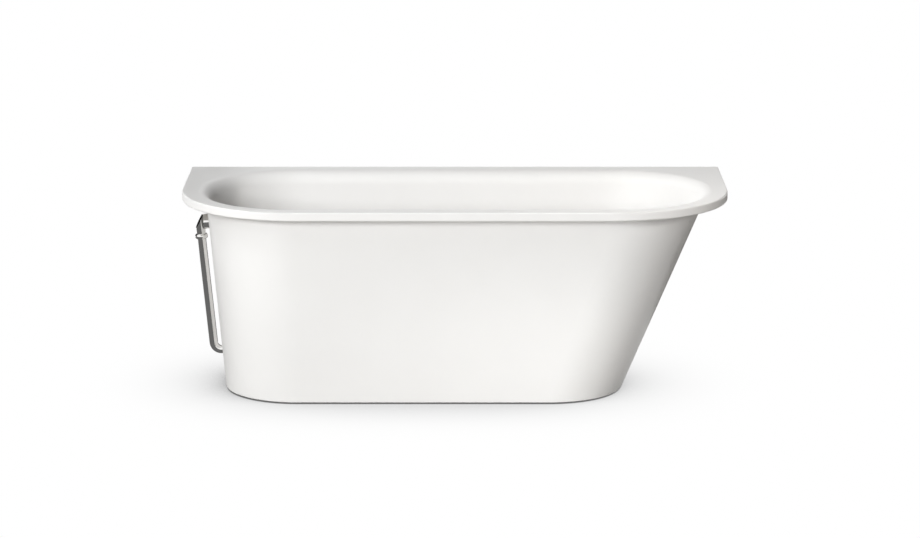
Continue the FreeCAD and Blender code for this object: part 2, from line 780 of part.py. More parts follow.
def waste_flange():
    """Flange with a tapered seat for the plug, a threaded tail and a spoked hub for the plug's guide."""
    body = new_body("waste_flange")
    bore = "(tail_radius - tail_wall)"
    turn(body, "flange", [
        (bore, TAIL_END),
        ("tail_radius", TAIL_END),
        ("tail_radius", f"{FLANGE_SEAT} - waste_shoulder_depth"),
        ("waste_shoulder_radius", f"{FLANGE_SEAT} - waste_shoulder_depth"),
        ("waste_shoulder_radius", FLANGE_SEAT),
        ("waste_flange_radius", FLANGE_SEAT),
        ("waste_flange_radius", f"{FLANGE_TOP} - waste_flange_thickness / 2"),
        ("waste_flange_radius - waste_flange_thickness / 2", FLANGE_TOP),
        ("waste_seat_radius", FLANGE_TOP),
        (bore, f"{FLANGE_TOP} - waste_seat_depth"),
    ])
    reach = f"({bore} + tail_wall / 2)"
    for name, corners in (
        ("spoke_along", rectangle(reach, "spoke_width / 2")),
        ("spoke_across", rectangle("spoke_width / 2", reach)),
    ):
        outline = polygon(body, f"{name}_outline", corners, f"{HUB_TOP} - hub_height")
        pad(body, name, outline, "hub_height")
    rod(body, "hub", "Additive", "hub_radius", "hub_height", ("0", "0", f"{HUB_TOP} - hub_height"))
    rod(body, "hub_bore", "Subtractive", "cartridge_radius + fit_clearance", "3 * hub_height",
        ("0", "0", f"{HUB_TOP} - 2 * hub_height"))
    at_waste(body)


def waste_gaskets():
    at_waste(washer("waste_flange_gasket", "waste_hole_radius", "waste_flange_radius - 1",
                    "floor_height - waste_recess_depth", FLANGE_SEAT))
    at_waste(washer("tee_gasket", "waste_hole_radius", "tee_flange_radius", TEE_TOP, FLOOR_UNDERSIDE))


def plug_cartridge():
    """Guide screwed into the hub. The plug's stem slides in its blind bore."""
    body = new_body("plug_cartridge")
    bottom = f"({HUB_TOP} - cartridge_length)"
    head_top = f"({HUB_TOP} + cartridge_head_height)"
    bore = "plug_stem_radius + shaft_clearance"
    turn(body, "guide", [
        ("0", bottom),
        ("cartridge_radius", bottom),
        ("cartridge_radius", HUB_TOP),
        ("cartridge_head_radius", HUB_TOP),
        ("cartridge_head_radius", head_top),
        (bore, head_top),
        (bore, f"{bottom} + cartridge_floor"),
        ("0", f"{bottom} + cartridge_floor"),
    ])
    at_waste(body)


PLUG_UNDERSIDE = f"({FLANGE_TOP} + running_gap)"
PLUG_BOSS_END = f"({PLUG_UNDERSIDE} - plug_boss_depth)"


def plug_pieces():
    cap = new_body("plug_cap")
    turn(cap, "cap", [
        ("0", PLUG_BOSS_END),
        ("plug_boss_radius", PLUG_BOSS_END),
        ("plug_boss_radius", PLUG_UNDERSIDE),
        ("plug_radius", PLUG_UNDERSIDE),
        ("plug_radius", f"{PLUG_UNDERSIDE} + plug_edge", "(plug_radius^2 + plug_crown^2) / (2 * plug_crown)"),
        ("0", f"{PLUG_UNDERSIDE} + plug_edge + plug_crown"),
    ])
    at_waste(cap)
    at_waste(washer("plug_seal", "plug_boss_radius", "plug_seal_radius",
                    f"{PLUG_UNDERSIDE} - plug_seal_thickness", PLUG_UNDERSIDE))
    stem = new_body("plug_stem")
    rod(stem, "shaft", "Additive", "plug_stem_radius", "plug_stem_length",
        ("0", "0", f"{PLUG_BOSS_END} - plug_stem_length"))
    at_waste(stem)


def waste_tee():
    """Joins the waste's tail and the overflow pipe and leads both down to the trap."""
    body = new_body("waste_tee")
    socket = "(tail_radius + fit_clearance)"
    socket_end = f"({TEE_TOP} - tee_socket_depth)"
    spigot_bore = "(outlet_spigot_radius - outlet_spigot_wall)"
    turn(body, "barrel", [
        ("0", "trap_joint_height"),
        ("outlet_spigot_radius", "trap_joint_height"),
        ("outlet_spigot_radius", "tee_foot"),
        ("tee_chamber_radius + tee_wall", "tee_foot + tee_wall"),
        ("tee_chamber_radius + tee_wall", socket_end),
        (f"{socket} + tee_wall", f"{socket_end} + tee_wall"),
        (f"{socket} + tee_wall", f"{TEE_TOP} - tee_flange_thickness"),
        ("tee_flange_radius", f"{TEE_TOP} - tee_flange_thickness"),
        ("tee_flange_radius", TEE_TOP),
        ("0", TEE_TOP),
    ])
    to_overflow = vector(0, 1, 0)
    branch_bore = "pipe_radius + fit_clearance"
    rod(body, "branch", "Additive", f"{branch_bore} + tee_branch_wall", "tee_branch_length",
        ("0", "0", "leg_height"), to_overflow, "-90")
    turn(body, "chamber", [
        ("0", "trap_joint_height"),
        (spigot_bore, "trap_joint_height"),
        (spigot_bore, "tee_foot"),
        ("tee_chamber_radius", "tee_foot + tee_wall"),
        ("tee_chamber_radius", socket_end),
        (socket, socket_end),
        (socket, TEE_TOP),
        ("0", TEE_TOP),
    ], "Groove")
    rod(body, "branch_socket", "Subtractive", branch_bore, "2 * tee_branch_socket",
        ("tee_branch_socket - tee_branch_length", "0", "leg_height"), to_overflow, "-90")
    rod(body, "branch_bore", "Subtractive", "pipe_radius - pipe_wall", "tee_branch_length",
        ("0", "0", "leg_height"), to_overflow, "-90")
    at_waste(body)


def ribbed_nut(name, thread, lip, wall, grip, seal):
    """A union nut: a threaded skirt from z = 0 up, and a lip below that holds the seal."""
    body = new_body(name)
    turn(body, "nut", [
        (lip, f"-({seal} + nut_lip)"),
        (f"{thread} + {wall}", f"-({seal} + nut_lip)"),
        (f"{thread} + {wall}", grip),
        (thread, grip),
        (thread, f"-{seal}"),
        (lip, f"-{seal}"),
    ])
    grip_ribs(body, f"{thread} + {wall}", f"-({seal} + nut_lip)", f"{seal} + nut_lip + {grip}")
    return body


def tee_inlet():
    branch = "(pipe_radius + 2 * fit_clearance + tee_branch_wall)"
    end_x = f"({WASTE_X} - tee_branch_length)"
    nut = ribbed_nut("tee_inlet_nut", branch, "pipe_radius + running_gap", "nut_wall", "inlet_nut_grip",
                     "inlet_seal_thickness")
    seal = washer("tee_inlet_seal", "pipe_radius + fit_clearance", f"{branch} - fit_clearance",
                  "-inlet_seal_thickness", "0")
    for body in (nut, seal):
        place(body, end_x, "0", "leg_height", axis=vector(0, 1, 0), angle="90")


# Trap, which turns on the tee's spigot so that its outlet can be aimed

COLLAR_REST = "(trap_joint_height - running_gap - trap_seal_thickness - trap_collar_height)"
TRAP_NUT_SEAT = f"(trap_joint_height - {COLLAR_REST} + running_gap)"
LID_TOP = "(trap_lid_height + trap_lid_thickness)"
DRUM_BORE = "(trap_drum_radius - trap_drum_wall)"


def trap_inlet():
    nut = ribbed_nut("trap_inlet_nut", "(outlet_spigot_radius + fit_clearance)",
                     "trap_neck_radius + running_gap", "nut_wall", "trap_nut_grip", TRAP_NUT_SEAT)
    place(nut, WASTE_X, "0", "trap_joint_height")
    seal_bottom = f"({COLLAR_REST} + trap_collar_height)"
    at_waste(washer("trap_inlet_seal", "trap_neck_radius - trap_neck_wall", "trap_collar_radius",
                    seal_bottom, f"{seal_bottom} + trap_seal_thickness"))


def trap_lid():
    """Lid of the drum, with the inlet neck above it and the dip tube below."""
    body = new_body("trap_lid")
    bore = "(trap_neck_radius - trap_neck_wall)"
    ring_outer = f"({DRUM_BORE} - fit_clearance)"
    dip_outer = f"({bore} + cup_wall)"
    turn(body, "lid", [
        (bore, "dip_height"),
        (dip_outer, "dip_height"),
        (dip_outer, "trap_lid_height"),
        (f"{ring_outer} - trap_drum_wall", "trap_lid_height"),
        (f"{ring_outer} - trap_drum_wall", "trap_lid_height - trap_lid_overlap"),
        (ring_outer, "trap_lid_height - trap_lid_overlap"),
        (ring_outer, "trap_lid_height"),
        ("trap_drum_radius + trap_lid_overlap", "trap_lid_height"),
        ("trap_drum_radius + trap_lid_overlap", LID_TOP),
        ("trap_neck_radius", LID_TOP),
        ("trap_neck_radius", COLLAR_REST),
        ("trap_collar_radius", COLLAR_REST),
        ("trap_collar_radius", f"{COLLAR_REST} + trap_collar_height"),
        (bore, f"{COLLAR_REST} + trap_collar_height"),
    ])
    at_waste(body)


def trap_body():
    """Low drum with a level outlet towards the wall."""
    body = new_body("trap_body")
    to_wall = vector(1, 0, 0)
    drum_height = "(trap_lid_height - trap_foot)"
    rod(body, "drum", "Additive", "trap_drum_radius", drum_height, ("0", "0", "trap_foot"))
    rod(body, "throat", "Additive", "throat_radius + throat_wall", "outlet_start + outlet_back / 2",
        ("0", "0", "throat_height"), to_wall, "-90")
    rod(body, "outlet", "Additive", "outlet_radius + outlet_wall", "outlet_end - outlet_start",
        ("0", "outlet_start", "outlet_height"), to_wall, "-90")
    rod(body, "drum_bore", "Subtractive", DRUM_BORE, drum_height, ("0", "0", "trap_foot + trap_drum_wall"))
    rod(body, "throat_bore", "Subtractive", "throat_radius", "outlet_end",
        ("0", "0", "throat_height"), to_wall, "-90")
    rod(body, "outlet_bore", "Subtractive", "outlet_radius", "outlet_end - outlet_start",
        ("0", "outlet_start + outlet_back", "outlet_height"), to_wall, "-90")
    at_waste(body)


def trap_cup():
    """Cup round the dip tube, which holds the water seal."""
    body = new_body("trap_cup")
    bottom = "(trap_foot + trap_drum_wall)"
    turn(body, "cup", [
        ("0", bottom),
        ("cup_radius", bottom),
        ("cup_radius", "cup_rim_height"),
        ("cup_radius - cup_wall", "cup_rim_height"),
        ("cup_radius - cup_wall", f"{bottom} + cup_wall"),
        ("0", f"{bottom} + cup_wall"),
    ])
    at_waste(body)


def trap_outlet():
    nut = ribbed_nut("trap_outlet_nut", "(outlet_radius + outlet_wall + fit_clearance)",
                     "outlet_radius + running_gap", "outlet_nut_wall", "outlet_nut_grip",
                     "outlet_seal_thickness")
    seal = washer("trap_outlet_seal", "outlet_radius + running_gap", "outlet_radius + outlet_wall",
                  "-outlet_seal_thickness", "0")
    for body in (nut, seal):
        place(body, WASTE_X, "outlet_end", "outlet_height", axis=vector(1, 0, 0), angle="90")


# Levelling feet

def foot_pieces(side, end):
    name = f"{side}_{end}"
    x, y = foot_spot(end, side)
    bore = "stud_radius + thread_clearance"
    insert = washer(f"foot_insert_{name}", bore, "insert_radius",
                    "boss_height", "boss_height + insert_length")
    locknut = new_body(f"foot_locknut_{name}")
    locknut_foot = "(boss_height - locknut_height)"
    locknut_outline = polygon(locknut, "nut_outline", hexagon("locknut_width"), locknut_foot)
    pad(locknut, "nut", locknut_outline, "locknut_height")
    rod(locknut, "bore", "Subtractive", bore, "3 * locknut_height",
        ("0", "0", f"{locknut_foot} - locknut_height"))
    stud = new_body(f"foot_stud_{name}")
    rod(stud, "shank", "Additive", "stud_radius", "stud_length", ("0", "0", "stud_foot"))
    stud_hex = polygon(stud, "hex_outline", hexagon("stud_hex_width"), "stud_hex_foot")
    pad(stud, "hex", stud_hex, "stud_hex_height")
    foot_pad = new_body(f"foot_pad_{name}")
    pad_top = "(shoe_thickness + pad_thickness)"
    turn(foot_pad, "pad", [
        ("0", "shoe_thickness"),
        ("pad_radius", "shoe_thickness"),
        ("pad_radius", f"{pad_top} - pad_thickness / 2"),
        ("pad_boss_radius", pad_top),
        ("pad_boss_radius", f"{pad_top} + pad_boss_height"),
        ("stud_radius + fit_clearance", f"{pad_top} + pad_boss_height"),
        ("stud_radius + fit_clearance", "stud_foot"),
        ("0", "stud_foot"),
    ])
    shoe = new_body(f"foot_shoe_{name}")
    turn(shoe, "shoe", [
        ("0", "0"),
        ("shoe_radius - shoe_thickness / 4", "0"),
        ("shoe_radius", "shoe_thickness / 4"),
        ("shoe_radius", "shoe_thickness"),
        ("0", "shoe_thickness"),
    ])
    for body in (insert, locknut, stud, foot_pad, shoe):
        place(body, x, y)


bath_shell()
overflow_elbow()
overflow_gaskets()
overflow_bush()
overflow_cover()
overflow_collar()
overflow_cone_seal()
overflow_pipe()
pipe_grommet()
waste_flange()
waste_gaskets()
plug_cartridge()
plug_pieces()
waste_tee()
tee_inlet()
trap_inlet()
trap_lid()
trap_body()
trap_cup()
trap_outlet()
for foot_side, foot_end in FEET:
    foot_pieces(foot_side, foot_end)
doc.recompute()

for item in doc.Objects:
    if "Invalid" in item.State or "Error" in item.State:
        raise RuntimeError(f"{item.Name} failed: {item.State}")
for body in subparts:
    if body.Shape.isNull() or not body.Shape.isValid() or len(body.Shape.Solids) != 1:
        raise RuntimeError(f"{body.Label} is not one valid solid")

os.makedirs("parts", exist_ok=True)
for body in subparts:
    body.Shape.exportStep(f"parts/{body.Label}.step")
print(f"{len(subparts)} sub-parts written")
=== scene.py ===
# %% [markdown]
# # A back-to-wall bath with its overflow and waste
# The CAD model is the fixed frame of this scene. It already has the exact shapes of the bath, the
# overflow kit, the waste, the trap and the levelling feet, so the lesson is about what a drawing
# can't show: finishes, light, and small turned and threaded details. Loading comes first.

# %% Load the imported model
import math

import bpy
from mathutils import Matrix, Vector


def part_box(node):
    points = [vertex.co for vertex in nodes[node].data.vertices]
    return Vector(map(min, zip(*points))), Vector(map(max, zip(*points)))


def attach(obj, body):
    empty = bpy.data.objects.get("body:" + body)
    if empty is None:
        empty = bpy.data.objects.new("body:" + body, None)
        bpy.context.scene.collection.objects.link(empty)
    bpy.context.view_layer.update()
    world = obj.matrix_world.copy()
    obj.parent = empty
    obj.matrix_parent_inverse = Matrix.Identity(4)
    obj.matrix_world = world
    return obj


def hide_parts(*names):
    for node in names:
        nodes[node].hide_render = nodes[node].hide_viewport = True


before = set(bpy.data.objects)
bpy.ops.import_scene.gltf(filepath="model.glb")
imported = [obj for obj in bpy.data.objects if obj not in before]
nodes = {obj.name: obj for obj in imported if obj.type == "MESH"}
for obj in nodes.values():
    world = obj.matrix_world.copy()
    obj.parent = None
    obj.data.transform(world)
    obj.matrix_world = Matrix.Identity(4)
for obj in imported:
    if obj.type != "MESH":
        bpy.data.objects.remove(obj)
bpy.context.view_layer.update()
bpy.context.scene.view_settings.view_transform = "Standard"

# %% [markdown]
# ## The camera
# A long lens from about ten metres keeps the two ends of the bath nearly the same size, as in a
# catalogue picture. The camera stands square to the front, two and a half metres up, and looks down
# about thirteen degrees, so that the far wall of the bowl and both its ends can be seen.

# %% Place the camera
PICTURE_WIDTH = 920
FOCAL_LENGTH_PIXELS = 3222.5
SENSOR_WIDTH = 36.0
CAMERA_PLACE = (0.0157, -9.5703, 2.5198)
CAMERA_TILT = math.radians(77.234)

bpy.ops.object.camera_add(location=CAMERA_PLACE, rotation=(CAMERA_TILT, 0.0, 0.0))
camera = bpy.context.object
camera.data.sensor_width = SENSOR_WIDTH
camera.data.lens = SENSOR_WIDTH * FOCAL_LENGTH_PIXELS / PICTURE_WIDTH
bpy.context.scene.camera = camera
print("camera lens", round(camera.data.lens, 1), "mm at", CAMERA_PLACE)

# %% [markdown]
# ## Node arithmetic
# A finish is a small program of nodes. Wiring Math nodes one by one hides what the program says,
# so one class wraps an output socket and lets Python's own operators add the Math nodes. Every
# other node comes from one method, which takes the node's type, its settings and its inputs.

# %% Write finishes as expressions
class Wire:
    """An output socket of a node tree, which takes part in plain arithmetic."""

    def __init__(self, sheet, socket):
        self.sheet = sheet
        self.socket = socket

    def math(self, operation, first, second=0.0):
        return self.sheet.node("ShaderNodeMath", {"operation": operation}, {0: first, 1: second})

    def __add__(self, other):
        return self.math("ADD", self, other)

    def __sub__(self, other):
        return self.math("SUBTRACT", self, other)

    def __rsub__(self, other):
        return self.math("SUBTRACT", other, self)

    def __mul__(self, other):
        return self.math("MULTIPLY", self, other)

    def __pow__(self, other):
        return self.math("POWER", self, other)

    def __abs__(self):
        return self.math("ABSOLUTE", self)

    __radd__ = __add__
    __rmul__ = __mul__

    def at_least(self, other):
        return self.math("MAXIMUM", self, other)

    def below(self, limit):
        return self.math("LESS_THAN", self, limit)


class NodeSheet:
    """A node tree that nodes and links are added to."""

    def __init__(self, tree):
        self.tree = tree

    def node(self, kind, settings=None, inputs=None, output=0):
        made = self.tree.nodes.new(kind)
        for name, setting in (settings or {}).items():
            setattr(made, name, setting)
        for key, given in (inputs or {}).items():
            self.feed(made.inputs[key], given)
        return Wire(self, made.outputs[output])

    def feed(self, socket, given):
        if isinstance(given, Wire):
            self.tree.links.new(given.socket, socket)
        else:
            socket.default_value = given

    def blend(self, share, first, second):
        return self.node(
            "ShaderNodeMix", {"data_type": "RGBA"}, {0: share, 6: first, 7: second}, output=2
        )

    def seen_directly(self):
        """1 for a ray from the camera, off a mirror or through glass, and 0 for bounced light."""
        rays = self.node("ShaderNodeLightPath").socket.node
        ways = ("Is Camera Ray", "Is Glossy Ray", "Is Transmission Ray")
        camera_ray, glossy_ray, clear_ray = (Wire(self, rays.outputs[way]) for way in ways)
        return camera_ray.at_least(glossy_ray).at_least(clear_ray)


class Finish(NodeSheet):
    """A material under construction, named for the finish of the real piece."""

    def __init__(self, name, **constants):
        self.material = bpy.data.materials.new(name)
        self.material.use_nodes = True
        super().__init__(self.material.node_tree)
        self.shader = self.tree.nodes["Principled BSDF"]
        self.place = self.node("ShaderNodeTexCoord", output="Object")
        for socket, constant in constants.items():
            self.set(socket, constant)

    def set(self, socket, given):
        """Sets or links an input of the shader, with its name in small letters and underscores."""
        names = {name.lower().replace(" ", "_"): name for name in self.shader.inputs.keys()}
        self.feed(self.shader.inputs[names[socket]], given)

    def axes(self):
        parts = self.node("ShaderNodeSeparateXYZ", inputs={0: self.place}).socket.node
        return [Wire(self, parts.outputs[axis]) for axis in "XYZ"]

    def noise(self, per_metre, detail=2.0, stretch=(1.0, 1.0, 1.0)):
        spread = self.node("ShaderNodeMapping", inputs={"Vector": self.place, "Scale": stretch})
        return self.node(
            "ShaderNodeTexNoise", inputs={"Vector": spread, "Scale": per_metre, "Detail": detail}
        )

    def bump(self, height, depth):
        made = self.node("ShaderNodeBump", inputs={"Height": height, "Distance": depth})
        self.set("normal", made)

    def cover_one_side(self, face):
        """Shows a shader of its own on the front of a surface, and leaves the back clear."""
        from_behind = self.node("ShaderNodeNewGeometry", output="Backfacing")
        clear = self.node("ShaderNodeBsdfTransparent")
        sided = self.node("ShaderNodeMixShader", inputs={0: from_behind, 1: face, 2: clear})
        self.feed(self.tree.nodes["Material Output"].inputs["Surface"], sided)


def put_on(finish, names):
    """Gives CAD nodes a finish by their own material slot."""
    for name in names:
        nodes[name].material_slots[0].material = finish.material
    print(finish.material.name, "on", len(names), "nodes")


def shade(*rgb):
    return (*rgb, 1.0)


# %% [markdown]
# ## The cast bath
# The bath is one casting of mineral filler in resin under a white gel coat. Its face is satin
# rather than glassy, with a faint mottle and a skin like very fine orange peel. Under the floor
# and inside the skirt the casting is left as it came from the mould: rougher and less white. The
# two sides are told apart by how deep a point lies inside the outline of the skirt.

# %% Gel coat and raw casting
SKIRT_MIDDLE = -0.094
SKIRT_HALF_LENGTH = 0.603
SKIRT_HALF_WIDTH = 0.2785
SKIRT_CORNER = 0.227
RAW_DEPTH = 0.007
RAW_TOP = 0.152
GEL_DULL = shade(0.808, 0.798, 0.784)
GEL_BRIGHT = shade(0.832, 0.824, 0.813)
CASTING_DARK = shade(0.560, 0.545, 0.515)
CASTING_LIGHT = shade(0.720, 0.705, 0.675)
GEL_ROUGHNESS = 0.30
MOTTLE_ROUGHNESS = 0.10
RAW_ROUGHNESS = 0.35
PEEL_DEPTH = 0.00004
SAND_TO_PEEL = 6.0

resin = Finish("cast_resin_gel_coat", specular_ior_level=0.45)
x, y, z = resin.axes()
past_end = (abs(x - SKIRT_MIDDLE) - (SKIRT_HALF_LENGTH - SKIRT_CORNER)).at_least(0.0)
past_side = (abs(y) - (SKIRT_HALF_WIDTH - SKIRT_CORNER)).at_least(0.0)
depth_inside = SKIRT_CORNER - (past_end * past_end + past_side * past_side) ** 0.5
raw = (RAW_DEPTH - depth_inside).below(0.0) * z.below(RAW_TOP)
mottle = resin.noise(per_metre=7.0, detail=4.0)
peel = resin.noise(per_metre=420.0, detail=1.0)
sand = resin.noise(per_metre=160.0, detail=6.0)
gel = resin.blend(mottle, GEL_DULL, GEL_BRIGHT)
casting = resin.blend(sand, CASTING_DARK, CASTING_LIGHT)
resin.set("base_color", resin.blend(raw, gel, casting))
resin.set("roughness", GEL_ROUGHNESS + MOTTLE_ROUGHNESS * mottle + RAW_ROUGHNESS * raw)
resin.bump(peel * (1 - raw) + SAND_TO_PEEL * sand * raw, PEEL_DEPTH)
put_on(resin, ["bath_shell"])

# %% [markdown]
# ## Polished nickel
# The overflow elbow, its collar and tube, the cover and the plug are brass plated with nickel and
# buffed bright. A mirror finish in a render needs two things: something dark and something bright
# to reflect, and a little unevenness, since a buffed surface is never quite flat or quite clean.

# %% Nickel plate
NICKEL_HAZY = shade(0.900, 0.890, 0.872)
NICKEL_BRIGHT = shade(0.940, 0.932, 0.918)
ALONG_THE_TUBE = (1.0, 1.0, 0.04)
NICKEL_ROUGHNESS = 0.045
HAZE_ROUGHNESS = 0.05
BUFFING_ROUGHNESS = 0.02
HAZE_DEPTH = 0.00003
BUFFING_TO_HAZE = 0.05

nickel = Finish("polished_nickel_plate", metallic=1.0)
haze = nickel.noise(per_metre=38.0, detail=3.0)
buffing = nickel.noise(per_metre=900.0, detail=2.0, stretch=ALONG_THE_TUBE)
nickel.set("base_color", nickel.blend(haze, NICKEL_HAZY, NICKEL_BRIGHT))
nickel.set(
    "roughness", NICKEL_ROUGHNESS + HAZE_ROUGHNESS * haze * haze + BUFFING_ROUGHNESS * buffing
)
nickel.bump(haze + BUFFING_TO_HAZE * buffing, HAZE_DEPTH)
put_on(
    nickel,
    ["overflow_elbow", "overflow_collar", "overflow_pipe", "overflow_cover", "overflow_bush",
     "waste_flange", "plug_cap"],
)

# %% [markdown]
# ## Brass, rubber, moulded plastic and zinc plate
# The hidden fittings have plain trade finishes. Turned brass keeps fine tool rings, rubber is dark
# and dusty, moulded plastic is a soft white with a slight flow pattern, and zinc plate on steel
# shows a cloudy spangle.

# %% Turned brass
BRASS_BRIGHT = shade(0.760, 0.560, 0.260)
BRASS_TARNISHED = shade(0.600, 0.420, 0.180)
ROUND_THE_AXIS = (0.2, 0.2, 30.0)
BRASS_ROUGHNESS = 0.22
TARNISH_ROUGHNESS = 0.20
RING_DEPTH = 0.00004

brass = Finish("turned_brass", metallic=1.0)
tarnish = brass.noise(per_metre=60.0, detail=4.0)
rings = brass.noise(per_metre=120.0, detail=0.0, stretch=ROUND_THE_AXIS)
brass.set("base_color", brass.blend(tarnish, BRASS_BRIGHT, BRASS_TARNISHED))
brass.set("roughness", BRASS_ROUGHNESS + TARNISH_ROUGHNESS * tarnish)
brass.bump(rings, RING_DEPTH)
foot_names = ["front_left", "front_right", "back_left", "back_right"]
put_on(brass, ["plug_cartridge", "plug_stem"] + [f"foot_insert_{foot}" for foot in foot_names])

# %% Moulded rubber
RUBBER_CLEAN = shade(0.018, 0.018, 0.019)
RUBBER_DUSTY = shade(0.055, 0.054, 0.052)
RUBBER_ROUGHNESS = 0.50
DUST_ROUGHNESS = 0.30
DUST_DEPTH = 0.00008

rubber = Finish("moulded_rubber", specular_ior_level=0.35)
dust = rubber.noise(per_metre=90.0, detail=5.0)
rubber.set("base_color", rubber.blend(dust, RUBBER_CLEAN, RUBBER_DUSTY))
rubber.set("roughness", RUBBER_ROUGHNESS + DUST_ROUGHNESS * dust)
rubber.bump(dust, DUST_DEPTH)
seal_names = [name for name in nodes if "gasket" in name or "seal" in name or "grommet" in name]
put_on(rubber, sorted(seal_names) + [f"foot_shoe_{foot}" for foot in foot_names])

# %% Moulded plastic
PLASTIC_DULL = shade(0.735, 0.735, 0.725)
PLASTIC_BRIGHT = shade(0.800, 0.800, 0.795)
UP_THE_MOULD = (1.0, 1.0, 0.4)
PLASTIC_ROUGHNESS = 0.34
FLOW_ROUGHNESS = 0.14
PORE_DEPTH = 0.00003

plastic = Finish("moulded_white_plastic", specular_ior_level=0.5)
flow = plastic.noise(per_metre=22.0, detail=3.0, stretch=UP_THE_MOULD)
pores = plastic.noise(per_metre=700.0, detail=1.0)
plastic.set("base_color", plastic.blend(flow, PLASTIC_DULL, PLASTIC_BRIGHT))
plastic.set("roughness", PLASTIC_ROUGHNESS + FLOW_ROUGHNESS * flow)
plastic.bump(pores, PORE_DEPTH)
put_on(
    plastic,
    ["waste_tee", "tee_inlet_nut", "trap_inlet_nut", "trap_lid", "trap_body", "trap_cup",
     "trap_outlet_nut"],
)

# %% Zinc plate on steel
ZINC_DARK = shade(0.520, 0.525, 0.530)
ZINC_LIGHT = shade(0.660, 0.660, 0.650)
ZINC_ROUGHNESS = 0.26
SPANGLE_ROUGHNESS = 0.22
SPANGLE_DEPTH = 0.00005

zinc = Finish("zinc_plated_steel", metallic=1.0)
spangle = zinc.noise(per_metre=140.0, detail=3.0)
zinc.set("base_color", zinc.blend(spangle, ZINC_DARK, ZINC_LIGHT))
zinc.set("roughness", ZINC_ROUGHNESS + SPANGLE_ROUGHNESS * spangle)
zinc.bump(spangle, SPANGLE_DEPTH)
put_on(
    zinc,
    [f"foot_{piece}_{foot}" for piece in ("locknut", "stud", "pad") for foot in foot_names],
)

# %% [markdown]
# ## Threaded studs and turned hexagons
# Each foot is levelled by a long screw with a hexagon near its lower end, and a locknut under the
# boss holds it. The CAD stud is a plain bar of the thread's outer diameter, and its hexagons have
# sharp corners. A thread could be painted on as bump, but its toothed outline shows against the
# light, so this one is real: one tooth is drawn from a single point by extruding, and the Screw
# modifier winds it upwards by one pitch a turn. The winding starts and stops outside the stud, and
# a bisect at each end leaves a clean flat cut. A real hexagon has its corners turned off on a
# lathe, which is what is left where a hexagon and a bevelled disc overlap.

# %% Wind a thread
STUD_RADIUS = 0.006
THREAD_PITCH = 0.00175
THREAD_DEPTH = 0.0010
THREAD_FLANK = 0.375 * THREAD_PITCH
THREAD_LAND = 0.125 * THREAD_PITCH
THREAD_STEPS = 24
SPARE_TURNS = 2
MERGE_DISTANCE = 1e-6

first_foot = foot_names[0]
stud_low, stud_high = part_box(f"foot_stud_{first_foot}")
stud_middle = (stud_low + stud_high) / 2


def edit_whole(*steps):
    """Runs steps in edit mode, each on the whole of the active mesh."""
    bpy.ops.object.mode_set(mode="EDIT")
    for step in steps:
        bpy.ops.mesh.select_all(action="SELECT")
        step()
    bpy.ops.object.mode_set(mode="OBJECT")


def apply_modifier(piece, kind, **settings):
    modifier = piece.modifiers.new(kind.lower(), kind)
    for name, setting in settings.items():
        setattr(modifier, name, setting)
    bpy.context.view_layer.objects.active = piece
    bpy.ops.object.modifier_apply(modifier=modifier.name)


def draw_tooth():
    bpy.ops.mesh.merge(type="CENTER")
    root = (STUD_RADIUS - THREAD_DEPTH, 0.0, -SPARE_TURNS * THREAD_PITCH)
    bpy.ops.transform.translate(value=root)
    rise = (THREAD_DEPTH, THREAD_FLANK)
    land = (0.0, THREAD_LAND)
    fall = (-THREAD_DEPTH, THREAD_FLANK)
    for out, up in (rise, land, fall, land):
        bpy.ops.mesh.extrude_region_move(TRANSFORM_OT_translate={"value": (out, 0.0, up)})


def cut_level(height, keep_above):
    bpy.ops.mesh.bisect(
        plane_co=(stud_middle.x, stud_middle.y, height), plane_no=(0.0, 0.0, 1.0), use_fill=True,
        clear_inner=keep_above, clear_outer=not keep_above,
    )


bpy.ops.object.select_all(action="DESELECT")
stud_foot = (stud_middle.x, stud_middle.y, stud_low.z)
bpy.ops.mesh.primitive_plane_add(size=THREAD_PITCH, location=stud_foot)
stud = bpy.context.object
edit_whole(draw_tooth)
turns = math.ceil((stud_high.z - stud_low.z) / THREAD_PITCH) + 2 * SPARE_TURNS
apply_modifier(
    stud, "SCREW", screw_offset=THREAD_PITCH, iterations=turns,
    steps=THREAD_STEPS, render_steps=THREAD_STEPS,
)
edit_whole(
    lambda: bpy.ops.mesh.remove_doubles(threshold=MERGE_DISTANCE),
    lambda: cut_level(stud_low.z, keep_above=True),
    lambda: cut_level(stud_high.z, keep_above=False),
    lambda: bpy.ops.mesh.normals_make_consistent(inside=False),
)
print("a thread of", turns, "turns with", len(stud.data.polygons), "faces")

# %% Turn the hexagons
DISC_SIDES = 64
HEXAGON_SIDES = 6
BORE_RADIUS = 0.0061
STUD_HEXAGON_WIDTH = 0.017
STUD_HEXAGON_FOOT = 0.012
STUD_HEXAGON_HEIGHT = 0.008
LOCKNUT_WIDTH = 0.019

stud_size = stud_high - stud_low
hexagon_turn = math.radians(90.0 if stud_size.x > stud_size.y else 0.0)


def turned_hexagon(width, bottom, top):
    """A hexagon of that width over its flats, with its corners turned off."""
    corner = width / math.sqrt(3.0)
    middle = (stud_middle.x, stud_middle.y, (bottom + top) / 2)
    bpy.ops.mesh.primitive_cylinder_add(
        vertices=DISC_SIDES, radius=corner, depth=top - bottom, location=middle
    )
    disc = bpy.context.object
    apply_modifier(disc, "BEVEL", width=corner - width / 2, segments=1)
    bpy.ops.mesh.primitive_cylinder_add(
        vertices=HEXAGON_SIDES, radius=corner, depth=top - bottom, location=middle,
        rotation=(0.0, 0.0, hexagon_turn),
    )
    hexagon = bpy.context.object
    apply_modifier(hexagon, "BOOLEAN", object=disc, operation="INTERSECT", solver="EXACT")
    bpy.data.objects.remove(disc)
    return hexagon


